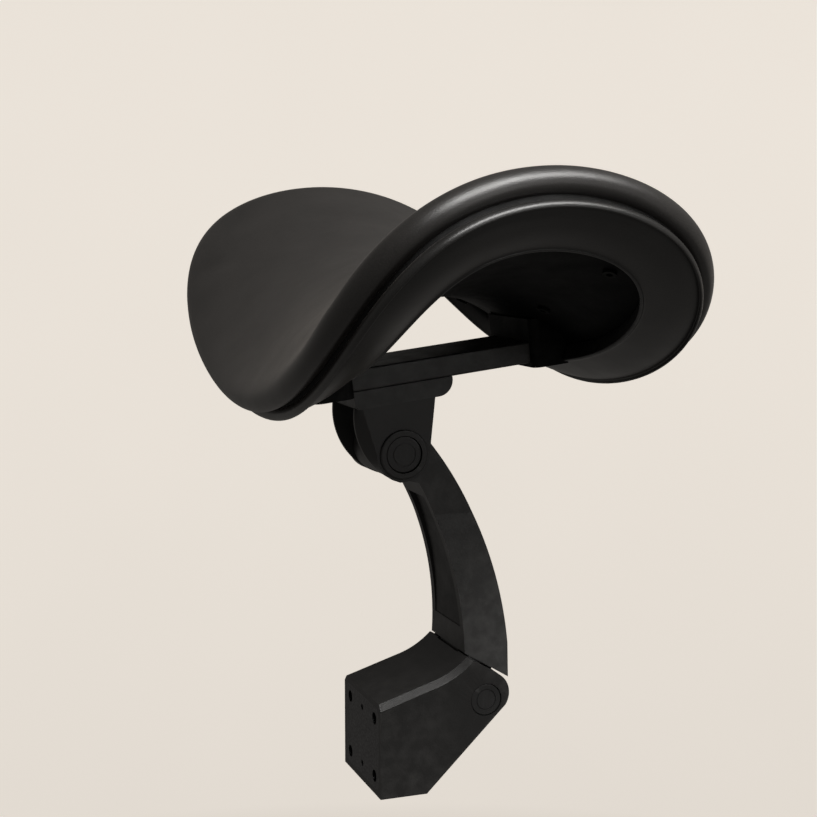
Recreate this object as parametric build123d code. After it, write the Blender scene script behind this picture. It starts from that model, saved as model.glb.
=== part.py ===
from build123d import *
import math
import os

os.makedirs("parts", exist_ok=True)

# Pivoting headrest for an office chair. Millimetres. The origin is the centre of the bracket's
# mounting face, +X is the sitter's left, -Y is the front of the chair and +Z is up.

# Pivots, as places in the Y-Z plane.
SWING_Y = 49.5
SWING_Z = 18.5
TILT_Y = 12.5
TILT_Z = 129.5
PIN_R = 4.0
PIN_CLEARANCE = 0.05
BUSH_R = 5.5
PIN_HEAD_R = 6.5
PIN_HEAD_H = 3.6
SPRING_T = 0.7
TILT_NUT_H = 2.4
SWING_NUT_H = 3.6
SOCKET_R = 2.9
SOCKET_DEPTH = 2.4

# Saddle-shaped pad: an arch front to back, and wings that rise to the sides.
PAD_Y = 30.0
PAD_Z = 185.0
PAD_PITCH = 3.8
PAD_HALF_WIDTH = 150.0
PAD_HALF_DEPTH = 81.5
PAD_CORNER_POWER = 4.75
PAD_TAPER = -0.07
ARCH_DROP = 33.0
WING_RISE = 53.0
CROWN_RISE = 14.0
COVER_TOP = 12.5
COVER_SKIN = 1.4
ROLL_INSET = 4.0
GROOVE_HALF = 1.5
GROOVE_DEPTH = 4.0
RIM_DROP = 12.3
RIM_INSET = 19.0
TRIM_WALL = 1.8
CARRIER_TOP = 1.0
PANEL_TOP = -1.6
PANEL_UNDER = -3.0
PATCH_HALF_WIDTH = 172.0
PATCH_HALF_DEPTH = 104.0
PATCH_STEPS = 16

# Strut bar across the pad's arch, and the knuckle under it.
BAR_Y = 30.0
BAR_Z = 171.5
BAR_PITCH = 7.0
BAR_W = 41.2
BAR_H = 9.5
BAR_WALL = 2.0
BAR_FRONT = -59.5
BAR_REAR = 60.0
SHOE_LENGTH = 18.0
SHOE_W = 50.0
PLATE_H = 7.8
PLATE_FRONT = -41.5
PLATE_REAR = 3.7
CHEEK_IN = 14.5
CHEEK_EDGE = 16.0
CHEEK_OUT = 20.6
CHEEK_BOSS_IN = 11.0
CHEEK_BOSS_R = 11.0
CHEEK_HUB_R = 13.0
TONGUE_HUB_R = 12.0
CAP_RIM = 21.6
TILT_CAP_R = 8.0
TILT_CAP_IN = 19.4
TILT_CAP_OUT = 21.1

# Arm.
ARM_HEAD_HALF = 14.0
ARM_FOOT_HALF = 22.0
ARM_HUB_R = 11.5
ARM_HUB_HALF = 9.5
ARM_WALL = 4.0
FOOT_FRONT = (41.2, 39.1)
FOOT_REAR = (61.5, 26.9)
TONGUE_HALF = 11.0
TONGUE_R = 8.0

# Bracket.
BRACKET_HALF = 25.5
FACE_HALF_HEIGHT = 21.0
SLOT_HALF = 12.5
BRACKET_CHAMFER = 2.6
BACKING_T = 3.0
BOLT_X = 34.0
BOLT_Z = 26.0
BOLT_HOLE_R = 2.7
BOLT_HOLE_DEPTH = 16.0
SWING_CAP_R = 7.2
SWING_SEAT = 17.5
SWING_CAP_IN = 22.6
SWING_CAP_OUT = 25.2


UPWARDS = (Align.CENTER, Align.CENTER, Align.MIN)
DOWNWARDS = (Align.CENTER, Align.CENTER, Align.MAX)


def save(name, shape):
    export_step(shape, "parts/" + name + ".step")


def yz_face(edges):
    return Face(Wire(edges))


def point(y, z, x=0.0):
    return Vector(x, y, z)


def polyline(points):
    return [Line(point(*a), point(*b)) for a, b in zip(points, points[1:])]


def arc(start, middle, end):
    return ThreePointArc(point(*start), point(*middle), point(*end))


def plate_x(face, x_low, x_high):
    # A flat outline in the plane X = 0, given thickness from x_low to x_high.
    return extrude(Pos(x_low, 0, 0) * face, amount=x_high - x_low, dir=(1, 0, 0))


def rod(y, z, radius, x_low, x_high):
    solid = Cylinder(radius, abs(x_high - x_low), rotation=(0, 90, 0))
    return Pos((x_low + x_high) / 2, y, z) * solid


def polar(y, z, radius, degrees):
    angle = math.radians(degrees)
    return (y + radius * math.cos(angle), z + radius * math.sin(angle))


def hex_recess(half_across, depth):
    # A hexagonal driver socket, cut both ways from its face.
    return extrude(RegularPolygon(half_across, 6, major_radius=False), amount=depth, both=True)


def placed(places, solid):
    return [place * solid for place in places]


def both_sides(solid):
    return solid, mirror(solid, about=Plane.YZ)


# ---------------------------------------------------------------- pad

def pad_frame():
    return Pos(0, PAD_Y, PAD_Z) * Rot(PAD_PITCH, 0, 0)


def pad_outline(inset):
    # Rounded rectangle seen from above, a little wider at the front.
    points = []
    count = 48
    for i in range(count):
        angle = 2 * math.pi * (i + 0.5) / count
        c = math.cos(angle)
        s = math.sin(angle)
        y = math.copysign(abs(c) ** (2 / PAD_CORNER_POWER), c)
        x = math.copysign(abs(s) ** (2 / PAD_CORNER_POWER), s) * (1 + PAD_TAPER * y)
        points.append(((PAD_HALF_WIDTH - inset) * x, (PAD_HALF_DEPTH - inset) * y, 0))
    return Face(Wire(Edge.make_spline([Vector(*p) for p in points], periodic=True)))


def pad_column(inset):
    return extrude(pad_outline(inset), amount=140, both=True)


def saddle_point(x, y, offset=0.0):
    # Arched front to back, raised to the sides and crowned in the middle.
    u = x / PAD_HALF_WIDTH
    v = y / PAD_HALF_DEPTH
    height = WING_RISE * u**2 - ARCH_DROP * v**2 + CROWN_RISE * (1 - u**2) * (1 - v**2)
    return Vector(x, y, height) + saddle_normal(x, y) * offset


def saddle_normal(x, y):
    u = x / PAD_HALF_WIDTH
    v = y / PAD_HALF_DEPTH
    slope_x = 2 * u * (WING_RISE - CROWN_RISE * (1 - v**2)) / PAD_HALF_WIDTH
    slope_y = -2 * v * (ARCH_DROP + CROWN_RISE * (1 - u**2)) / PAD_HALF_DEPTH
    return Vector(-slope_x, -slope_y, 1).normalized()


def saddle_face(offset):
    steps = [2 * i / PATCH_STEPS - 1 for i in range(PATCH_STEPS + 1)]
    rows = [[saddle_point(PATCH_HALF_WIDTH * u, PATCH_HALF_DEPTH * v, offset) for v in steps] for u in steps]
    return Face.make_surface_from_array_of_points(rows, tol=1e-3)


def saddle_band(low, high):
    # The space between two parallel saddle surfaces, closed by ruled sides.
    under = saddle_face(low)
    over = saddle_face(high)
    sides = []
    for edge in under.edges():
        partner = min(over.edges(), key=lambda other: (other.center() - edge.center()).length)
        sides.append(Face.make_surface_from_curves(edge, partner))
    return Solid(Shell([under, over] + sides))


def pad_layer(low, high, inset):
    return saddle_band(low, high) & pad_column(inset)


def saddle_place(x, y):
    # A place on the saddle surface with its own Z along the surface's normal.
    return Location(Plane(saddle_point(x, y), z_dir=saddle_normal(x, y)))


def foam_pad():
    return pad_layer(GROOVE_HALF, COVER_TOP - COVER_SKIN, ROLL_INSET + COVER_SKIN)


def cushion_cover(foam):
    middle = COVER_TOP / 2 + 1
    lower = pad_layer(GROOVE_HALF, middle, 0)
    upper = pad_layer(middle, COVER_TOP, ROLL_INSET)
    return lower + upper - foam


def carrier_shell():
    return pad_layer(PANEL_TOP, CARRIER_TOP, GROOVE_DEPTH + 1)


def groove_strip():
    ring = pad_layer(PANEL_TOP, GROOVE_HALF, GROOVE_DEPTH)
    return ring - pad_column(GROOVE_DEPTH + 1)


def rim_cover():
    ring = pad_layer(-RIM_DROP, PANEL_TOP, 2.0)
    return ring - pad_column(RIM_INSET)


def rim_trim():
    ring = pad_layer(-RIM_DROP - 0.5, PANEL_TOP, RIM_INSET)
    return ring - pad_column(RIM_INSET + TRIM_WALL)


def back_panel():
    return pad_layer(PANEL_UNDER, PANEL_TOP, RIM_INSET + TRIM_WALL)


def panel_shank():
    return Pos(0, 0, PANEL_UNDER - 0.5) * Cylinder(1.3, 3.9, align=UPWARDS)


def panel_screw():
    under = PANEL_UNDER - 0.05
    head = Pos(0, 0, under) * Cylinder(2.8, 1.3, align=DOWNWARDS)
    return head - Pos(0, 0, under - 1.3) * hex_recess(1.2, 0.9) + panel_shank()


def panel_places():
    return [saddle_place(x, y) for x in (-105, -45, 45, 105) for y in (-38, 38)]


# ---------------------------------------------------------------- strut

def bar_frame():
    return Pos(0, BAR_Y, BAR_Z) * Rot(BAR_PITCH, 0, 0)


def in_bar_frame(y, z):
    angle = math.radians(BAR_PITCH)
    across = BAR_Y + y * math.cos(angle) - z * math.sin(angle)
    up = BAR_Z + y * math.sin(angle) + z * math.cos(angle)
    return (across, up)


def bar_block(width, height, front, rear, middle_z):
    return Pos(0, (front + rear) / 2, middle_z) * Box(width, rear - front, height)


def bar_envelope():
    block = bar_block(BAR_W, BAR_H, BAR_FRONT, BAR_REAR, -BAR_H / 2)
    return bar_frame() * fillet(block.edges().filter_by(Axis.Y), 1.0)


def strut_bar(pad_above, screws):
    hollow = bar_block(BAR_W - 2 * BAR_WALL, BAR_H - 2 * BAR_WALL, BAR_FRONT - 5, BAR_REAR + 5, -BAR_H / 2)
    return bar_envelope() - bar_frame() * hollow - pad_above - screws


def strut_shoe(front, rear, pad_above, bar, screws):
    block = bar_block(SHOE_W, BAR_H + 12, front, rear, (10 - BAR_H - 2) / 2)
    block = fillet(block.edges().filter_by(Axis.Z), 4.0)
    return bar_frame() * block - pad_above - bar - screws


def strut_screw(y):
    # Stands upright in the pad's frame, its head let into the shoe and its tip in a brass insert.
    head_seat = BAR_Z - PAD_Z - BAR_H - 0.1 + y * math.tan(math.radians(BAR_PITCH - PAD_PITCH))
    surface = saddle_point(0, y).Z
    head = Pos(0, 0, head_seat) * Cylinder(3.6, 1.8, align=DOWNWARDS)
    shank = Pos(0, 0, head_seat) * Cylinder(1.9, surface - 0.8 - head_seat, align=UPWARDS)
    return head + shank


def strut_socket(y):
    head_seat = BAR_Z - PAD_Z - BAR_H - 0.1 + y * math.tan(math.radians(BAR_PITCH - PAD_PITCH))
    return Pos(0, 0, head_seat - 1.8) * hex_recess(1.5, 1.2)


def strut_insert(y):
    surface = saddle_point(0, y).Z
    return Pos(0, 0, surface - 0.3) * Cylinder(3.0, 3.4, align=DOWNWARDS)


def at_strut_corners(make):
    solids = []
    for y in (-50, 47):
        for x in (-13, 13):
            solids.append(pad_frame() * Pos(x, y, 0) * make(y))
    return solids


# ---------------------------------------------------------------- knuckle

BELLY_Y = 22.85
BELLY_Z = 145.8
BELLY_R = 31.06
BELLY_ANGLES = (195, 215, 233)
CHEEK_TOP = -BAR_H - PLATE_H
BELLY_FRONT = in_bar_frame(-40.5, CHEEK_TOP)
TONGUE_FRONT = in_bar_frame(-38.4, CHEEK_TOP)
CHEEK_REAR = in_bar_frame(-5.2, CHEEK_TOP)


def knuckle_plate(screws):
    low = -BAR_H - PLATE_H
    corner = 7.0
    profile = yz_face([
        *polyline([(PLATE_REAR - corner, low), (PLATE_FRONT + 1.5, low), (PLATE_FRONT, low + 1.5),
                   (PLATE_FRONT, -BAR_H), (PLATE_REAR, -BAR_H), (PLATE_REAR, low + corner)]),
        arc((PLATE_REAR, low + corner), polar(PLATE_REAR - corner, low + corner, corner, -45),
            (PLATE_REAR - corner, low)),
    ])
    return bar_frame() * plate_x(profile, -BAR_W / 2, BAR_W / 2) - screws


def belly_edges():
    spots = [polar(BELLY_Y, BELLY_Z, BELLY_R, a) for a in BELLY_ANGLES]
    low = polar(TILT_Y, TILT_Z, CHEEK_HUB_R, -90)
    return [arc(BELLY_FRONT, *spots[:2]), arc(*spots[1:], low)], BELLY_FRONT


def tongue_edges():
    side = polar(TILT_Y, TILT_Z, TONGUE_HUB_R, 180)
    low = polar(TILT_Y, TILT_Z, TONGUE_HUB_R, -90)
    edges = polyline([TONGUE_FRONT, side])
    edges.append(arc(side, polar(TILT_Y, TILT_Z, TONGUE_HUB_R, -135), low))
    return edges, TONGUE_FRONT


def cheek_face(front_edges, start, hub_radius):
    bottom = polar(TILT_Y, TILT_Z, hub_radius, -90)
    rear = polar(TILT_Y, TILT_Z, hub_radius, 0)
    return yz_face([
        *front_edges,
        arc(bottom, polar(TILT_Y, TILT_Z, hub_radius, -45), rear),
        *polyline([rear, CHEEK_REAR, start]),
    ])


def cheek(pin_holes, screws):
    belly, belly_start = belly_edges()
    inner = cheek_face(belly, belly_start, CHEEK_HUB_R)
    tongue, tongue_start = tongue_edges()
    outer = cheek_face(tongue, tongue_start, TONGUE_HUB_R)
    body = plate_x(inner, CHEEK_IN, CHEEK_EDGE)
    body += loft([Pos(CHEEK_EDGE, 0, 0) * inner, Pos(CHEEK_OUT, 0, 0) * outer], ruled=True)
    ring = rod(TILT_Y, TILT_Z, TONGUE_HUB_R - 1.2, CHEEK_OUT, CAP_RIM)
    body += fillet(ring.edges().group_by(Axis.X)[-1], 0.7)
    body += rod(TILT_Y, TILT_Z, CHEEK_BOSS_R, CHEEK_BOSS_IN, CHEEK_IN)
    body -= rod(TILT_Y, TILT_Z, TILT_CAP_R + 0.15, TILT_CAP_IN, CAP_RIM + 1)
    body -= rod(TILT_Y, TILT_Z, PIN_HEAD_R + 0.3, CHEEK_IN + 1.0, TILT_CAP_IN)
    return body - pin_holes - screws


def countersunk(head_r, head_h, shank_r, length):
    # A screw blank along +Z with its flat head at the origin.
    head = Cone(head_r, shank_r, head_h, align=UPWARDS)
    return head + Cylinder(shank_r, length, align=UPWARDS)


def knuckle_places():
    # Driven upwards from under the plate into the nut plate inside the bar.
    low = -BAR_H - PLATE_H
    return [bar_frame() * Pos(x, y, low) for x in (-8, 8) for y in (-34, -5)]


def nut_plate(screws):
    height = BAR_H - 2 * BAR_WALL
    return bar_frame() * bar_block(30, height, -41, 2, -BAR_H / 2) - screws


def cheek_places():
    # Driven downwards through the plate into the cheeks, before the bar covers the heads.
    turned = Rot(180, 0, 0)
    return [bar_frame() * Pos(x, y, -BAR_H) * turned for x in (-17.4, 17.4) for y in (-33, -9)]


# ---------------------------------------------------------------- pivot hardware

def hex_socket(y, z, x_face):
    prism = extrude(Plane.YZ * RegularPolygon(SOCKET_R, 6, major_radius=False), amount=SOCKET_DEPTH, both=True)
    return Pos(x_face, y, z) * prism


def pivot_pin(y, z, x_tip, x_seat):
    x_face = x_seat + PIN_HEAD_H
    head = rod(y, z, PIN_HEAD_R, x_seat, x_face)
    head = fillet(head.edges().group_by(Axis.X)[-1], 0.6)
    pin = head + rod(y, z, PIN_R, x_tip, x_seat)
    return pin - hex_socket(y, z, x_face)


def hex_nut(y, z, x_seat, height):
    blank = extrude(Plane.YZ * RegularPolygon(5.5, 6, major_radius=False), amount=-height)
    return Pos(x_seat, y, z) * blank - rod(y, z, PIN_R, x_seat - height - 1, x_seat + 1)


def spring_washers(y, z, x_seat):
    # Two dished springs, rim to rim, between the seat and the nut.
    solids = []
    for x_low, x_high in ((x_seat, x_seat - SPRING_T), (x_seat - 2 * SPRING_T, x_seat - SPRING_T)):
        step = (x_high - x_low) * 0.6
        section = Face(Wire(Polyline(
            (x_low, PIN_R + 0.1), (x_low + step, PIN_HEAD_R - 0.4),
            (x_high, PIN_HEAD_R - 0.4), (x_high - step, PIN_R + 0.1), close=True)))
        ring = revolve(section, Axis.X, 360)
        solids.append(Pos(0, y, z) * ring)
    return solids


def pivot_cap(y, z, radius, x_low, x_high):
    # Domed cover disc with a plain turned ring on its face.
    disc = rod(y, z, radius, x_low, x_high)
    disc = fillet(disc.edges().group_by(Axis.X)[-1], 0.6)
    ring = rod(y, z, radius * 0.66, x_high - 0.3, x_high + 1)
    ring -= rod(y, z, radius * 0.58, x_high - 1, x_high + 2)
    return disc - ring


def flanged_bush(y, z, x_end, x_seat, x_face, flange_r):
    sleeve = rod(y, z, BUSH_R, x_end, x_seat) + rod(y, z, flange_r, x_seat, x_face)
    return sleeve - rod(y, z, PIN_R + PIN_CLEARANCE, x_end - 1, x_face + 1)


# ---------------------------------------------------------------- arm

ARM_FRONT_TOP = (22.0, 115.5)
ARM_FRONT_MIDDLE = (36.9, 77.5)
ARM_REAR_TOP = (26.2, 134.3)
ARM_REAR_MIDDLE = (50.1, 94.2)
ARM_REAR_LOW = (61.9, 42.0)


def shifted(spot, forward):
    return (spot[0] - forward, spot[1])


def arm_front_view(inset):
    # Seen from the front: parallel beside the knuckle, then flaring to the foot.
    head = ARM_HEAD_HALF - inset
    foot = ARM_FOOT_HALF - inset
    right = [(head, 170), (head, 101), (head + (foot - head) * 0.42, 68), (foot, 26), (foot, 0)]
    left = [(-x, z) for x, z in right]
    spots = [Vector(x, 0, z) for x, z in right]
    mirrored = [Vector(x, 0, z) for x, z in left]
    face = Face(Wire([
        Line(spots[0], spots[1]),
        ThreePointArc(spots[1], spots[2], spots[3]),
        Line(spots[3], spots[4]),
        Line(spots[4], mirrored[4]),
        Line(mirrored[4], mirrored[3]),
        ThreePointArc(mirrored[3], mirrored[2], mirrored[1]),
        Line(mirrored[1], mirrored[0]),
        Line(mirrored[0], spots[0]),
    ]))
    return extrude(face, amount=120, both=True)


def arm_side_view():
    hub_top = polar(TILT_Y, TILT_Z, ARM_HUB_R, 95)
    hub_low = polar(TILT_Y, TILT_Z, ARM_HUB_R, -105)
    hub_front = polar(TILT_Y, TILT_Z, ARM_HUB_R, 175)
    return yz_face([
        arc(hub_top, hub_front, hub_low),
        *polyline([hub_low, ARM_FRONT_TOP]),
        arc(ARM_FRONT_TOP, ARM_FRONT_MIDDLE, FOOT_FRONT),
        *polyline([FOOT_FRONT, FOOT_REAR, ARM_REAR_LOW]),
        arc(ARM_REAR_LOW, ARM_REAR_MIDDLE, ARM_REAR_TOP),
        *polyline([ARM_REAR_TOP, hub_top]),
    ])


def arm_tongue():
    profile = yz_face(polyline([
        (41.9, 41), (41.6, SWING_Z), (SWING_Y + TONGUE_R, SWING_Z), (58.2, 31), (41.9, 41)]))
    tongue = plate_x(profile, -TONGUE_HALF, TONGUE_HALF)
    return tongue + rod(SWING_Y, SWING_Z, TONGUE_R, -TONGUE_HALF, TONGUE_HALF)


CHANNEL_TOP = (25.9, 108.5)
CHANNEL_LOW = (41.0, 50.0)
CHANNEL_DEPTH = 9.0
COVER_SINK_TOP = 2.2
COVER_SINK_LOW = 0.3
COVER_THICK = 2.0


def channel_face(front_shift, back_top, back_low):
    # The strip behind the arm's front curve, between two depths.
    top_out = shifted(CHANNEL_TOP, front_shift[0])
    middle_out = shifted(ARM_FRONT_MIDDLE, (front_shift[0] + front_shift[1]) / 2)
    low_out = shifted(CHANNEL_LOW, front_shift[1])
    top_in = shifted(CHANNEL_TOP, -back_top)
    middle_in = shifted(ARM_FRONT_MIDDLE, -(back_top + back_low) / 2)
    low_in = shifted(CHANNEL_LOW, -back_low)
    return yz_face([
        arc(top_out, middle_out, low_out),
        *polyline([low_out, low_in]),
        arc(low_in, middle_in, top_in),
        *polyline([top_in, top_out]),
    ])


def arm_channel():
    strip = channel_face((6, 6), CHANNEL_DEPTH, CHANNEL_DEPTH)
    return plate_x(strip, -30, 30) & arm_front_view(ARM_WALL)


def arm_front_cover():
    strip = channel_face((-COVER_SINK_TOP, -COVER_SINK_LOW),
                         COVER_SINK_TOP + COVER_THICK, COVER_SINK_LOW + COVER_THICK)
    return plate_x(strip, -30, 30) & arm_front_view(ARM_WALL)


def arm_body():
    body = plate_x(arm_side_view(), -30, 30) & arm_front_view(0)
    for side in (-1, 1):
        seat = sorted((side * ARM_HUB_HALF, side * 20))
        body -= rod(TILT_Y, TILT_Z, CHEEK_BOSS_R + 0.3, *seat)
    body -= rod(TILT_Y, TILT_Z, BUSH_R, -20, 20)
    body -= arm_channel()
    body += arm_tongue()
    return body - rod(SWING_Y, SWING_Z, BUSH_R, -20, 20)


# ---------------------------------------------------------------- bracket

FOOT_ANGLE = math.atan2(FOOT_REAR[1] - FOOT_FRONT[1], FOOT_REAR[0] - FOOT_FRONT[0])


def along_foot(distance, height):
    # A place measured along the arm's sloping underside, and at right angles to it.
    y = FOOT_FRONT[0] + distance * math.cos(FOOT_ANGLE) - height * math.sin(FOOT_ANGLE)
    z = FOOT_FRONT[1] + distance * math.sin(FOOT_ANGLE) + height * math.cos(FOOT_ANGLE)
    return (y, z)


def bracket_side_view():
    ear_front = along_foot(0.5, -0.8)
    ear_rear = along_foot(17.0, -0.8)
    tip_low = (58.8, 15.3)
    bottom = -FACE_HALF_HEIGHT
    return yz_face([
        *polyline([(21.5, bottom), (0, bottom), (0, FACE_HALF_HEIGHT), (24.5, 28.6)]),
        arc((24.5, 28.6), (33.6, 32.4), ear_front),
        *polyline([ear_front, ear_rear]),
        arc(ear_rear, (60.2, 23.4), tip_low),
        *polyline([tip_low, (21.5, bottom)]),
    ])


def top_side_edge(edge):
    middle = edge.center()
    return abs(abs(middle.X) - BRACKET_HALF) < 0.01 and middle.Z > 22 and middle.Y < 40


def stop_pads():
    corners = [along_foot(2, -1.7), along_foot(9, -1.7), along_foot(9, -0.1), along_foot(2, -0.1)]
    profile = yz_face(polyline(corners + corners[:1]))
    return [plate_x(profile, 14.5, 20.5), plate_x(profile, -20.5, -14.5)]


def bolt_holes():
    hole = Cylinder(BOLT_HOLE_R, BOLT_HOLE_DEPTH, rotation=(90, 0, 0))
    places = [(x, z) for x in (-BOLT_X / 2, BOLT_X / 2) for z in (-BOLT_Z / 2, BOLT_Z / 2)]
    return [Pos(x, BOLT_HOLE_DEPTH / 2, z) * hole for x, z in places]


def plate_places():
    return [Pos(0, 0, z) * Rot(-90, 0, 0) for z in (-BOLT_Z / 2, BOLT_Z / 2)]


def backing_block():
    block = Pos(0, BACKING_T / 2, 0) * Box(46, BACKING_T, 37)
    return fillet(block.edges().filter_by(Axis.Y), 4)


def bracket_body(pads, screws):
    body = plate_x(bracket_side_view(), -BRACKET_HALF, BRACKET_HALF)
    body = chamfer(body.edges().filter_by(top_side_edge), BRACKET_CHAMFER)
    floor = SWING_Z - TONGUE_R - 0.7
    slot = yz_face(polyline([
        (40.8, SWING_Z), (SWING_Y, SWING_Z), (SWING_Y, floor), (75, floor), (75, 60), (40.8, 60),
        (40.8, SWING_Z)]))
    body -= plate_x(slot, -SLOT_HALF, SLOT_HALF)
    body -= rod(SWING_Y, SWING_Z, TONGUE_R + 0.7, -SLOT_HALF, SLOT_HALF)
    for side in (-1, 1):
        body -= rod(SWING_Y, SWING_Z, SWING_CAP_R + 0.1, *sorted((side * SWING_SEAT, side * 30)))
    body -= rod(SWING_Y, SWING_Z, PIN_R, -30, 30)
    return body - backing_block() - bolt_holes() - pads - screws


# ---------------------------------------------------------------- the pieces

pad = pad_frame()
foam = foam_pad()
save("foam_pad", pad * foam)
save("cushion_cover", pad * cushion_cover(foam))
inserts = at_strut_corners(strut_insert)
struts = at_strut_corners(strut_screw)
panel_holes = [pad * place * panel_shank() for place in panel_places()]
save("carrier_shell", pad * carrier_shell() - inserts - struts - panel_holes)
save("groove_strip", pad * groove_strip())
save("rim_cover", pad * rim_cover())
save("rim_trim", pad * rim_trim())
save("back_panel", pad * back_panel() - inserts - struts - panel_holes)
save("panel_screws", Compound([pad * place * panel_screw() for place in panel_places()]))
sockets = at_strut_corners(strut_socket)
save("strut_screws", Compound([screw - socket for screw, socket in zip(struts, sockets)]))
save("strut_inserts", Compound([insert - screw for insert, screw in zip(inserts, struts)]))

pad_above = pad * saddle_band(PANEL_UNDER, 70)
bar_outer = bar_envelope()
fixings = struts + inserts
save("strut_shoe_front", strut_shoe(-59.7, -59.7 + SHOE_LENGTH, pad_above, bar_outer, fixings))
save("strut_shoe_rear", strut_shoe(59.0 - SHOE_LENGTH, 59.0, pad_above, bar_outer, fixings))

plate_bolts = placed(knuckle_places(), countersunk(4.6, 2.6, 2.5, 14.2))
cheek_bolts = placed(cheek_places(), countersunk(2.9, 1.6, 1.5, 18.0))
save("strut_bar", strut_bar(pad_above, fixings) - plate_bolts)
save("nut_plate", nut_plate(plate_bolts))
save("knuckle_plate", knuckle_plate(plate_bolts) - cheek_bolts)
save("knuckle_screws", Compound([
    bolt - place * hex_recess(1.7, 2.4) for bolt, place in zip(plate_bolts, knuckle_places())]))
save("cheek_screws", Compound([
    bolt - place * hex_recess(1.0, 1.3) for bolt, place in zip(cheek_bolts, cheek_places())]))

pin_hole = rod(TILT_Y, TILT_Z, PIN_R, 0, 30)
left_cheek = cheek(pin_hole, [bolt for bolt in cheek_bolts if bolt.center().X > 0])
save("cheek_left", left_cheek)
save("cheek_right", mirror(left_cheek, about=Plane.YZ))
TILT_SEAT = CHEEK_IN + 1.0
save("tilt_pin", pivot_pin(TILT_Y, TILT_Z, -TILT_CAP_IN + 0.2, TILT_SEAT))
save("tilt_spring_washers", Compound(spring_washers(TILT_Y, TILT_Z, -TILT_SEAT)))
save("tilt_nut", hex_nut(TILT_Y, TILT_Z, -TILT_SEAT - 2 * SPRING_T, TILT_NUT_H))
left, right = both_sides(pivot_cap(TILT_Y, TILT_Z, TILT_CAP_R, TILT_CAP_IN, TILT_CAP_OUT))
save("tilt_cap_left", left)
save("tilt_cap_right", right)
left, right = both_sides(flanged_bush(TILT_Y, TILT_Z, 3.0, ARM_HUB_HALF, CHEEK_BOSS_IN - 0.05, 10.8))
save("tilt_bush_left", left)
save("tilt_bush_right", right)

save("arm_body", arm_body())
save("arm_front_cover", arm_front_cover())
left, right = both_sides(flanged_bush(SWING_Y, SWING_Z, 4.0, TONGUE_HALF, SLOT_HALF - 0.05, 7.6))
save("swing_bush_left", left)
save("swing_bush_right", right)

rubber_stops = stop_pads()
backing_bolts = placed(plate_places(), countersunk(3.8, 2.2, 2.0, 12.0))
save("stop_pads", Compound(rubber_stops))
save("bracket_body", bracket_body(rubber_stops, backing_bolts))
save("backing_plate", backing_block() - bolt_holes() - backing_bolts)
save("plate_screws", Compound([
    bolt - place * hex_recess(1.3, 1.8) for bolt, place in zip(backing_bolts, plate_places())]))
save("swing_pin", pivot_pin(SWING_Y, SWING_Z, -SWING_CAP_IN + 0.2, SWING_SEAT))
save("swing_spring_washers", Compound(spring_washers(SWING_Y, SWING_Z, -SWING_SEAT)))
save("swing_nut", hex_nut(SWING_Y, SWING_Z, -SWING_SEAT - 2 * SPRING_T, SWING_NUT_H))
left, right = both_sides(pivot_cap(SWING_Y, SWING_Z, SWING_CAP_R, SWING_CAP_IN, SWING_CAP_OUT))
save("swing_cap_left", left)
save("swing_cap_right", right)
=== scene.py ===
# Visual model of the headrest: leather cushion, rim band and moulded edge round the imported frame.
import math

import bmesh
import bpy
from mathutils import Matrix, Vector


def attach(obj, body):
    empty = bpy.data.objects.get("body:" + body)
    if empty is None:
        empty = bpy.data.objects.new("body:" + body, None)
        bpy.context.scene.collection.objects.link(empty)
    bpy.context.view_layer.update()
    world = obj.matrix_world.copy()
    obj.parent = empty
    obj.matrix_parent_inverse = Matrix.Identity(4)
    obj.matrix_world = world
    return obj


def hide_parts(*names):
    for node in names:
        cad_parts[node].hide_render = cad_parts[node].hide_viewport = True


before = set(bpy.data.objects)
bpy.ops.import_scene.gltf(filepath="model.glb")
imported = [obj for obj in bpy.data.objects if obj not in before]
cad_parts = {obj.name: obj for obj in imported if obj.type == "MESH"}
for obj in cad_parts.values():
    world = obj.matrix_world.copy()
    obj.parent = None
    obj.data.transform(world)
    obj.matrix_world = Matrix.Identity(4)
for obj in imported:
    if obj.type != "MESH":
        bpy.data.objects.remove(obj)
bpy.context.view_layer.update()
MM = 0.001

# Pad: the same saddle surface as the CAD, in the pad's own axes, in millimetres.
PAD_CENTRE = Vector((0, 30, 185))
PAD_PITCH = math.radians(3.8)
HALF_WIDTH = 150.0
HALF_DEPTH = 81.5
CORNER_POWER = 4.75
TAPER = -0.07
ARCH_DROP = 33.0
WING_RISE = 53.0
CROWN_RISE = 14.0
COLUMNS = 84
ROWS = 46

# Cushion, in millimetres above the saddle surface and in from the outline.
FACE_HEIGHT = 13.0
FACE_FILL = 2.6
FACE_INSET = 5.0
UNDER_HEIGHT = 1.3
UNDER_INSET = 8.0
ROLL_STEPS = 14

# Cloth run that fills the cover.
CLOTH_FRAMES = 20
CLOTH_CAP = 0.0016
CLOTH_PRESSURE = 4
HELD_BELOW = 3.0
SMOOTH_PASSES = 12

# Rim band and its moulded edge, in the same (inset, height) millimetres.
LIP_CENTRE = (4.1, -3.4)
LIP_RADIUS = 3.0
SKIN_END = (18.9, -10.8)
SKIN_BULGE = 2.2
SKIN_STEPS = 24
BEAD_CENTRE = (19.7, -11.0)
BEAD_RADIUS = 0.75

# Stage, in metres.
FLOOR_Z = -0.95
WALL_REACH = 1.5
WALL_HEIGHT = 3.4
SWEEP_RADIUS = 0.3
WALL_SIDES = 96
WALL_GLOW = 0.53

# Camera: angles in radians, offsets from the pad's centre in millimetres.
CAMERA_TURN = 0.34985
CAMERA_LIFT = 0.11812
CAMERA_BACK = 663.35
CAMERA_RIGHT = -7.37
CAMERA_UP = -38.35
CAMERA_LENS = 66.244


# ---------------------------------------------------------------- helpers

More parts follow.
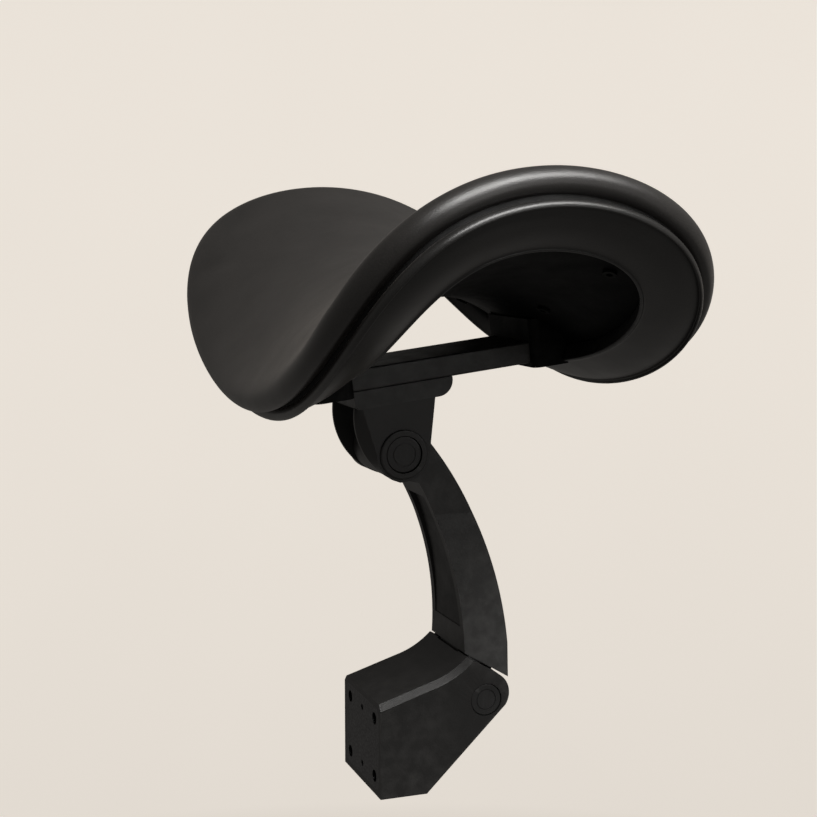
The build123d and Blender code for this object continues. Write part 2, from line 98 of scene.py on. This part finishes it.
def saddle(x, y):
    u = x / HALF_WIDTH
    v = y / HALF_DEPTH
    height = WING_RISE * u * u - ARCH_DROP * v * v + CROWN_RISE * (1 - u * u) * (1 - v * v)
    slope_x = 2 * u * (WING_RISE - CROWN_RISE * (1 - v * v)) / HALF_WIDTH
    slope_y = -2 * v * (ARCH_DROP + CROWN_RISE * (1 - u * u)) / HALF_DEPTH
    return Vector((x, y, height)), Vector((-slope_x, -slope_y, 1)).normalized()


def to_world(v):
    return (Matrix.Rotation(PAD_PITCH, 3, "X") @ v + PAD_CENTRE) * MM


def squircle(u, v, power):
    # Takes the square |u|, |v| <= 1 to a rounded rectangle of half size 1.
    reach = max(abs(u), abs(v))
    if reach < 1e-9:
        return 0.0, 0.0
    soft = power + (1 - reach) * 30
    norm = (abs(u) ** soft + abs(v) ** soft) ** (1 / soft)
    return u * reach / norm, v * reach / norm


def pad_xy(u, v, inset):
    a, b = squircle(u, v, CORNER_POWER)
    x = (HALF_WIDTH - inset) * a * (1 + TAPER * b)
    y = (HALF_DEPTH - inset) * b
    return x, y


def pad_point(u, v, inset, height):
    base, normal = saddle(*pad_xy(u, v, inset))
    return base + normal * height


def even(i, count):
    # Grid lines a little closer together towards both ends.
    t = 2 * i / count - 1
    return t * (1.12 - 0.12 * t * t)


def new_object(name, bm):
    mesh = bpy.data.meshes.new(name)
    bmesh.ops.recalc_face_normals(bm, faces=bm.faces)
    bm.to_mesh(mesh)
    bm.free()
    for poly in mesh.polygons:
        poly.use_smooth = True
    obj = bpy.data.objects.new(name, mesh)
    bpy.context.scene.collection.objects.link(obj)
    return obj


def grid_sheet(bm, columns, rows, height_at, inset):
    # A full sheet over the pad; returns its vertices by (column, row).
    verts = {}
    for i in range(columns + 1):
        for j in range(rows + 1):
            u, v = even(i, columns), even(j, rows)
            verts[i, j] = bm.verts.new(to_world(pad_point(u, v, inset, height_at(u, v))))
    for i in range(columns):
        for j in range(rows):
            bm.faces.new((verts[i, j], verts[i + 1, j], verts[i + 1, j + 1], verts[i, j + 1]))
    return verts


def border(columns, rows):
    keys = [(i, 0) for i in range(columns)]
    keys += [(columns, j) for j in range(rows)]
    keys += [(i, rows) for i in range(columns, 0, -1)]
    keys += [(0, j) for j in range(rows, 0, -1)]
    return keys


def outline_ring(bm, inset, height):
    # One loop of vertices round the pad's outline.
    ring = []
    for i, j in border(COLUMNS, ROWS):
        ring.append(bm.verts.new(to_world(pad_point(even(i, COLUMNS), even(j, ROWS), inset, height))))
    return ring


def stitch(bm, loop_a, loop_b):
    count = len(loop_a)
    for k in range(count):
        n = (k + 1) % count
        bm.faces.new((loop_a[k], loop_a[n], loop_b[n], loop_b[k]))


def smooth_interp(points, t):
    # Catmull-Rom through (inset, height) points, t from 0 to len(points) - 1.
    i = min(int(t), len(points) - 2)
    f = t - i
    p1, p2 = points[i], points[i + 1]
    p0 = points[i - 1] if i > 0 else p1
    p3 = points[i + 2] if i + 2 < len(points) else p2
    out = []
    for a, b, c, d in zip(p0, p1, p2, p3):
        out.append(b + 0.5 * f * (c - a + f * (2 * a - 5 * b + 4 * c - d + f * (3 * (b - c) + d - a))))
    return out


# ---------------------------------------------------------------- materials

def value(node, name, setting):
    node.inputs[name].default_value = setting


def ramp(tree, source, low, high, dark, light):
    node = tree.nodes.new("ShaderNodeMapRange")
    tree.links.new(source, node.inputs["Value"])
    value(node, "From Min", low)
    value(node, "From Max", high)
    value(node, "To Min", dark)
    value(node, "To Max", light)
    return node.outputs["Result"]


def noise(tree, coords, scale, detail=3.0, rough=0.55):
    node = tree.nodes.new("ShaderNodeTexNoise")
    tree.links.new(coords, node.inputs["Vector"])
    value(node, "Scale", scale)
    value(node, "Detail", detail)
    value(node, "Roughness", rough)
    return node.outputs["Fac"]


def cells(tree, coords, scale, feature="DISTANCE_TO_EDGE"):
    node = tree.nodes.new("ShaderNodeTexVoronoi")
    node.feature = feature
    tree.links.new(coords, node.inputs["Vector"])
    value(node, "Scale", scale)
    return node.outputs["Distance"]


def bump(tree, height, distance, strength, after=None):
    node = tree.nodes.new("ShaderNodeBump")
    tree.links.new(height, node.inputs["Height"])
    value(node, "Distance", distance)
    value(node, "Strength", strength)
    if after is not None:
        tree.links.new(after, node.inputs["Normal"])
    return node.outputs["Normal"]


def mix_colour(tree, factor, first, second):
    # first is a colour or the output of another node.
    node = tree.nodes.new("ShaderNodeMix")
    node.data_type = "RGBA"
    tree.links.new(factor, node.inputs[0])
    if isinstance(first, tuple):
        node.inputs[6].default_value = (*first, 1)
    else:
        tree.links.new(first, node.inputs[6])
    node.inputs[7].default_value = (*second, 1)
    return node.outputs[2]


def worn_edges(tree):
    geometry = tree.nodes.new("ShaderNodeNewGeometry")
    return ramp(tree, geometry.outputs["Pointiness"], 0.53, 0.62, 0.0, 1.0)


def new_material(name):
    material = bpy.data.materials.new(name)
    material.use_nodes = True
    tree = material.node_tree
    shader = next(n for n in tree.nodes if n.type == "BSDF_PRINCIPLED")
    coords = tree.nodes.new("ShaderNodeTexCoord").outputs["Object"]
    return material, tree, shader, coords


def rough_patches(tree, coords, shader, scale, detail, low, high):
    patches = ramp(tree, noise(tree, coords, scale, detail), 0.3, 0.7, low, high)
    tree.links.new(patches, shader.inputs["Roughness"])


def leather_material(name, dark, light, rough_low, rough_high, grain=1.0):
    material, tree, shader, coords = new_material(name)
    mottling = noise(tree, coords, 34, 4)
    colour = mix_colour(tree, ramp(tree, mottling, 0.35, 0.68, 0, 1), dark, light)
    pores = cells(tree, coords, 1150)
    colour = mix_colour(tree, ramp(tree, pores, 0.0, 0.10, 0.55, 0.0), colour, (0.004, 0.004, 0.004))
    tree.links.new(colour, shader.inputs["Base Color"])
    rough_patches(tree, coords, shader, 60, 5, rough_low, rough_high)
    value(shader, "Specular IOR Level", 0.5)
    value(shader, "Sheen Weight", 0.05)
    value(shader, "Sheen Roughness", 0.4)
    value(shader, "Sheen Tint", (0.95, 0.86, 0.78, 1))
    creases = bump(tree, pores, 0.00012, 0.55 * grain)
    fine = bump(tree, noise(tree, coords, 2600, 2), 0.00005, 0.35 * grain, creases)
    soft = bump(tree, noise(tree, coords, 22, 2), 0.0009, 0.12, fine)
    tree.links.new(soft, shader.inputs["Normal"])
    return material


def plastic_material(name, dark, light, rough_low, rough_high, scale=1500, depth=0.00004, spec=0.5):
    material, tree, shader, coords = new_material(name)
    tone = noise(tree, coords, 45, 3)
    colour = mix_colour(tree, ramp(tree, tone, 0.35, 0.65, 0, 1), dark, light)
    edge = tree.nodes.new("ShaderNodeMath")
    edge.operation = "MULTIPLY"
    tree.links.new(worn_edges(tree), edge.inputs[0])
    tree.links.new(ramp(tree, noise(tree, coords, 160, 4), 0.4, 0.7, 0.2, 0.9), edge.inputs[1])
    worn = tuple(min(1, c * 2.6 + 0.008) for c in light)
    tree.links.new(mix_colour(tree, edge.outputs[0], colour, worn), shader.inputs["Base Color"])
    rough_patches(tree, coords, shader, 110, 4, rough_low, rough_high)
    value(shader, "Specular IOR Level", spec)
    texture = bump(tree, noise(tree, coords, scale, 3, 0.6), depth, 0.6)
    dimples = bump(tree, cells(tree, coords, scale * 0.6, "F1"), depth, 0.35, texture)
    tree.links.new(dimples, shader.inputs["Normal"])
    return material


def metal_material(name, colour, rough):
    material, tree, shader, coords = new_material(name)
    tone = noise(tree, coords, 220, 4)
    darker = tuple(c * 0.72 for c in colour)
    tinted = mix_colour(tree, ramp(tree, tone, 0.35, 0.65, 0, 1), darker, colour)
    tree.links.new(tinted, shader.inputs["Base Color"])
    rough_patches(tree, coords, shader, 900, 3, rough * 0.7, rough * 1.25)
    value(shader, "Metallic", 1.0)
    tree.links.new(bump(tree, noise(tree, coords, 1800, 2), 0.00002, 0.4), shader.inputs["Normal"])
    return material


def backdrop_material():
    material, tree, shader, coords = new_material("studio_paper")
    colour = mix_colour(tree, noise(tree, coords, 3, 2), (0.56, 0.53, 0.49), (0.60, 0.57, 0.53))
    tree.links.new(colour, shader.inputs["Base Color"])
    value(shader, "Roughness", 0.95)
    value(shader, "Specular IOR Level", 0.1)
    # The wall glows softly up to the object's height, as a lit studio wall does; the floor doesn't.
    split = tree.nodes.new("ShaderNodeSeparateXYZ")
    tree.links.new(coords, split.inputs[0])
    glow = tree.nodes.new("ShaderNodeMath")
    glow.operation = "MULTIPLY"
    tree.links.new(ramp(tree, split.outputs["Z"], FLOOR_Z, -0.62, 0.0, WALL_GLOW), glow.inputs[0])
    tree.links.new(ramp(tree, split.outputs["Z"], 0.6, 1.5, 1.0, 0.12), glow.inputs[1])
    tree.links.new(glow.outputs[0], shader.inputs["Emission Strength"])
    value(shader, "Emission Color", (1.0, 0.93, 0.845, 1))
    return material


def grey(level):
    return (level, level, level)


leather = leather_material("cushion_leather", (0.015, 0.0140, 0.0132), (0.020, 0.0185, 0.0175), 0.34, 0.40)
# The band leather is a darker copy of the cushion leather: painted shade for the band, which faces down and
# out.
band_leather_painted_shade = leather_material(
    "band_leather_painted_shade", (0.010, 0.0098, 0.0095), (0.014, 0.0136, 0.0132), 0.33, 0.40, 0.7)
# Near-black panel plastic is painted shade: it stands for the dark hollow under the pad and hides the panel
# screws in it.
painted_shade_plastic = plastic_material("panel_plastic_painted_shade", grey(0.002), grey(0.003), 0.55, 0.65, spec=0.08)
trim_plastic = plastic_material("trim_plastic", grey(0.012), grey(0.018), 0.36, 0.48)
arm_plastic = plastic_material("arm_plastic", (0.0130, 0.0130, 0.0126), (0.0150, 0.0148, 0.0144), 0.45, 0.48)
bar_coat = plastic_material(
    "bar_coating", (0.0105, 0.0105, 0.0103), (0.0135, 0.0135, 0.0132), 0.38, 0.50, 1900, 0.00003)
# The front cover is much darker than the arm: painted shade for the arm's shaded front channel.
cover_plastic_painted_shade = plastic_material("cover_plastic_painted_shade", grey(0.003), grey(0.005), 0.5, 0.62)
cap_plastic = plastic_material("cap_plastic", grey(0.010), grey(0.015), 0.34, 0.46, 1700, 0.00003)
casting = plastic_material(
    "bracket_coating", (0.0060, 0.0058, 0.0055), (0.0078, 0.0075, 0.0072), 0.48, 0.52, 1300, 0.00005)
# The groove strip is a real retaining strip; its near-black colour is partly painted shade for the deep
# groove.
groove_web_and_shade = plastic_material("groove_webbing_and_shade", grey(0.0015), grey(0.003), 0.8, 0.95)
rubber = plastic_material("stop_rubber", grey(0.006), grey(0.010), 0.7, 0.85, 900, 0.00005, 0.3)
steel = metal_material("zinc_steel", (0.50, 0.50, 0.49), 0.34)
black_steel = metal_material("black_oxide_steel", (0.06, 0.06, 0.062), 0.42)
brass = metal_material("brass", (0.72, 0.52, 0.24), 0.3)

FINISH = {
    "carrier_shell": painted_shade_plastic, "groove_strip": groove_web_and_shade,
    "back_panel": painted_shade_plastic, "panel_screws": painted_shade_plastic, "strut_bar": bar_coat,
    "strut_shoe_front": painted_shade_plastic, "strut_shoe_rear": painted_shade_plastic, "strut_screws": black_steel,
    "strut_inserts": brass, "nut_plate": steel, "knuckle_plate": bar_coat, "knuckle_screws": black_steel,
    "cheek_left": arm_plastic, "cheek_right": arm_plastic, "cheek_screws": black_steel,
    "tilt_pin": steel, "tilt_nut": steel, "tilt_spring_washers": steel,
    "tilt_cap_left": cap_plastic, "tilt_cap_right": cap_plastic,
    "arm_body": arm_plastic, "arm_front_cover": cover_plastic_painted_shade,
    "tilt_bush_left": cap_plastic, "tilt_bush_right": cap_plastic,
    "swing_bush_left": cap_plastic, "swing_bush_right": cap_plastic,
    "bracket_body": casting, "backing_plate": black_steel, "plate_screws": black_steel,
    "stop_pads": rubber,
    "swing_pin": steel, "swing_nut": steel, "swing_spring_washers": steel,
    "swing_cap_left": cap_plastic, "swing_cap_right": cap_plastic,
}


def paint(obj, material):
    obj.data.materials.clear()
    obj.data.materials.append(material)


for name, material in FINISH.items():
    paint(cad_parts[name], material)


# ---------------------------------------------------------------- cushion

def crown(u, v):
    # Height of the sitting face: level at the roll, fuller towards the middle.
    fill = (1 - abs(u) ** 3.2) * (1 - abs(v) ** 2.6)
    return FACE_HEIGHT + FACE_FILL * fill


def make_cushion():
    # One closed form: crowned top, rolled side and a flat underside that lies on the shell.
    roll = [(FACE_INSET, FACE_HEIGHT), (2.4, 12.2), (0.8, 10.2), (0.0, 7.4), (0.1, 4.6), (0.9, 2.5)]
    roll += [(2.6, 1.5), (4.2, 1.25)]
    bm = bmesh.new()
    top = grid_sheet(bm, COLUMNS, ROWS, crown, FACE_INSET)
    keys = border(COLUMNS, ROWS)
    loop = [top[k] for k in keys]
    for step in range(1, ROLL_STEPS + 1):
        inset, height = smooth_interp(roll, (len(roll) - 1) * step / ROLL_STEPS)
        ring = outline_ring(bm, inset, height)
        stitch(bm, loop, ring)
        loop = ring
    under = grid_sheet(bm, COLUMNS, ROWS, lambda u, v: UNDER_HEIGHT, UNDER_INSET)
    stitch(bm, loop, [under[k] for k in keys])
    return new_object("cushion", bm)


def puff(obj, cap, pinned):
    group = obj.vertex_groups.new(name="held")
    held = [v.index for v in obj.data.vertices if pinned(v.co)]
    group.add(held, 1.0, "ADD")
    rest = [v.co.copy() for v in obj.data.vertices]
    cloth = obj.modifiers.new("Cloth", "CLOTH")
    settings = cloth.settings
    settings.quality = 6
    settings.mass = 0.2
    settings.tension_stiffness = 22
    settings.compression_stiffness = 22
    settings.shear_stiffness = 12
    settings.bending_stiffness = 2.5
    settings.use_pressure = True
    settings.uniform_pressure_force = CLOTH_PRESSURE
    settings.effector_weights.gravity = 0
    settings.vertex_group_mass = "held"
    cloth.collision_settings.use_collision = False
    scene = bpy.context.scene
    cloth.point_cache.frame_start = 1
    cloth.point_cache.frame_end = CLOTH_FRAMES
    for number in range(1, CLOTH_FRAMES + 1):
        scene.frame_set(number)
    evaluated = obj.evaluated_get(bpy.context.evaluated_depsgraph_get())
    moved = [v.co.copy() for v in evaluated.data.vertices]
    obj.modifiers.remove(cloth)
    scene.frame_set(1)
    obj.vertex_groups.remove(group)
    moves = []
    for start, end in zip(rest, moved):
        move = end - start
        if move.length > cap:
            move *= cap / move.length
        moves.append(move)
    near = [[] for _ in rest]
    for a, b in (edge.vertices for edge in obj.data.edges):
        near[a].append(b)
        near[b].append(a)
    fixed = set(held)
    for _ in range(SMOOTH_PASSES):
        # The cover is stretched smooth over foam, so neighbouring points move together.
        moves = [m if i in fixed else (m + sum((moves[n] for n in near[i]), Vector())) / (1 + len(near[i]))
                 for i, m in enumerate(moves)]
    for vert, start, move in zip(obj.data.vertices, rest, moves):
        vert.co = start + move


def subdivide(obj, levels):
    modifier = obj.modifiers.new("Subdivision", "SUBSURF")
    modifier.levels = levels
    modifier.render_levels = levels


def local(co):
    # A point's place in the pad's own axes, in millimetres.
    return Matrix.Rotation(-PAD_PITCH, 3, "X") @ (co / MM - PAD_CENTRE)


def height_over_saddle(co):
    p = local(co)
    base, normal = saddle(p.x, p.y)
    return (p - base).dot(normal)


cushion = make_cushion()
puff(cushion, CLOTH_CAP, lambda co: height_over_saddle(co) < HELD_BELOW)
subdivide(cushion, 1)
paint(cushion, leather)


# ---------------------------------------------------------------- rim band and its moulded edge

def sweep_round(name, profile):
    # Carries a closed (inset, height) profile once round the pad's outline.
    bm = bmesh.new()
    loops = [outline_ring(bm, inset, height) for inset, height in profile]
    for a, b in zip(loops, loops[1:] + loops[:1]):
        stitch(bm, a, b)
    return new_object(name, bm)


def arc(centre, radius, start, sweep, count):
    # count + 1 points on an arc, angles in degrees.
    turns = (math.radians(start + sweep * k / count) for k in range(count + 1))
    return [(centre[0] + radius * math.cos(t), centre[1] + radius * math.sin(t)) for t in turns]


def make_band():
    # The flared band under the cushion: rolled lip at the groove, outer skin, inner hem.
    lip = [(4.6, -1.6)] + arc(LIP_CENTRE, LIP_RADIUS, 45, 172, 8)
    skin = []
    for k in range(4, SKIN_STEPS + 1):
        s = k / SKIN_STEPS
        bulge = SKIN_BULGE * math.sin(math.pi * s)
        skin.append((SKIN_END[0] * s - bulge, SKIN_END[1] * s - bulge))
    hem = [(19.0, -11.6), (18.9, -10.2), (17.6, -8.0), (11.0, -3.8), (5.2, -2.3)]
    return sweep_round("rim_band", lip + skin + hem)


def make_bead():
    # Slim moulded edge round the opening, with the wall that closes the band up to the panel.
    edge = arc(BEAD_CENTRE, BEAD_RADIUS, 200, 180, 7)
    wall = [(20.6, -9.0), (21.4, -3.0), (20.4, -2.6), (19.3, -9.0)]
    return sweep_round("rim_bead", edge + wall)


band = make_band()
subdivide(band, 1)
paint(band, band_leather_painted_shade)
bead = make_bead()
subdivide(bead, 1)
paint(bead, trim_plastic)
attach(bead, "headrest")
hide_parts("rim_trim")

for piece, nodes, fill in ((cushion, ("cushion_cover", "foam_pad"), 0.85), (band, ("rim_cover",), 0.9)):
    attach(piece, "headrest")
    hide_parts(*nodes)


# ---------------------------------------------------------------- stage, lights, camera

def area_light(name, place, target, size, power, colour):
    data = bpy.data.lights.new(name, "AREA")
    data.shape = "RECTANGLE"
    data.size = size[0]
    data.size_y = size[1]
    data.energy = power
    data.color = colour
    lamp = bpy.data.objects.new(name, data)
    lamp.location = place
    lamp.rotation_euler = (Vector(target) - Vector(place)).to_track_quat("-Z", "Y").to_euler()
    bpy.context.scene.collection.objects.link(lamp)


def make_camera():
    level = math.cos(CAMERA_LIFT)
    back = Vector((math.cos(CAMERA_TURN) * level, -math.sin(CAMERA_TURN) * level, math.sin(CAMERA_LIFT)))
    right = Vector((math.sin(CAMERA_TURN), math.cos(CAMERA_TURN), 0))
    up = back.cross(right)
    place = (PAD_CENTRE + back * CAMERA_BACK + right * CAMERA_RIGHT + up * CAMERA_UP) * MM
    data = bpy.data.cameras.new("camera")
    data.sensor_width = 36
    data.lens = CAMERA_LENS
    data.clip_start = 0.01
    data.clip_end = 50
    camera = bpy.data.objects.new("camera", data)
    camera.matrix_world = Matrix.Translation(place) @ Matrix((right, up, back)).transposed().to_4x4()
    bpy.context.scene.collection.objects.link(camera)
    bpy.context.scene.camera = camera
    return right, up, back


def make_stage():
    # Round floor and wall in one sweep, the same from every side. It is seen, but adds no light to the part.
    bm = bmesh.new()
    profile = [(0.02, 0.0), (0.6, 0.0)]
    profile += arc((WALL_REACH - SWEEP_RADIUS, SWEEP_RADIUS), SWEEP_RADIUS, -90, 90, 16)
    profile += [(WALL_REACH, WALL_HEIGHT)]
    rings = []
    for out, up in profile:
        turns = (2 * math.pi * k / WALL_SIDES for k in range(WALL_SIDES))
        rings.append([bm.verts.new((out * math.cos(t), out * math.sin(t), FLOOR_Z + up)) for t in turns])
    bm.faces.new(rings[0])
    for a, b in zip(rings, rings[1:]):
        stitch(bm, a, b)
    stage = new_object("studio_sweep", bm)
    paint(stage, backdrop_material())
    stage.visible_glossy = False
    stage.visible_diffuse = False
    stage.visible_shadow = False


right, up, back = make_camera()
make_stage()
focus = (0.0, 0.03, 0.12)
centre = Vector(focus)
area_light("top", centre + Vector((0.62, 0.22, 0.94)), focus, (1.1, 0.36), 23, (1.0, 0.985, 0.965))
area_light("key", centre + back * 1.2 + right * 1.2 + up * 0.3, focus, (0.6, 0.6), 2.4, (1.0, 0.98, 0.96))
world = bpy.data.worlds.new("studio_world")
world.use_nodes = True
surround = world.node_tree.nodes["Background"]
value(surround, "Color", (1.0, 0.955, 0.90, 1))
value(surround, "Strength", 0.15)
bpy.context.scene.world = world
bpy.context.scene.view_settings.view_transform = "Standard"
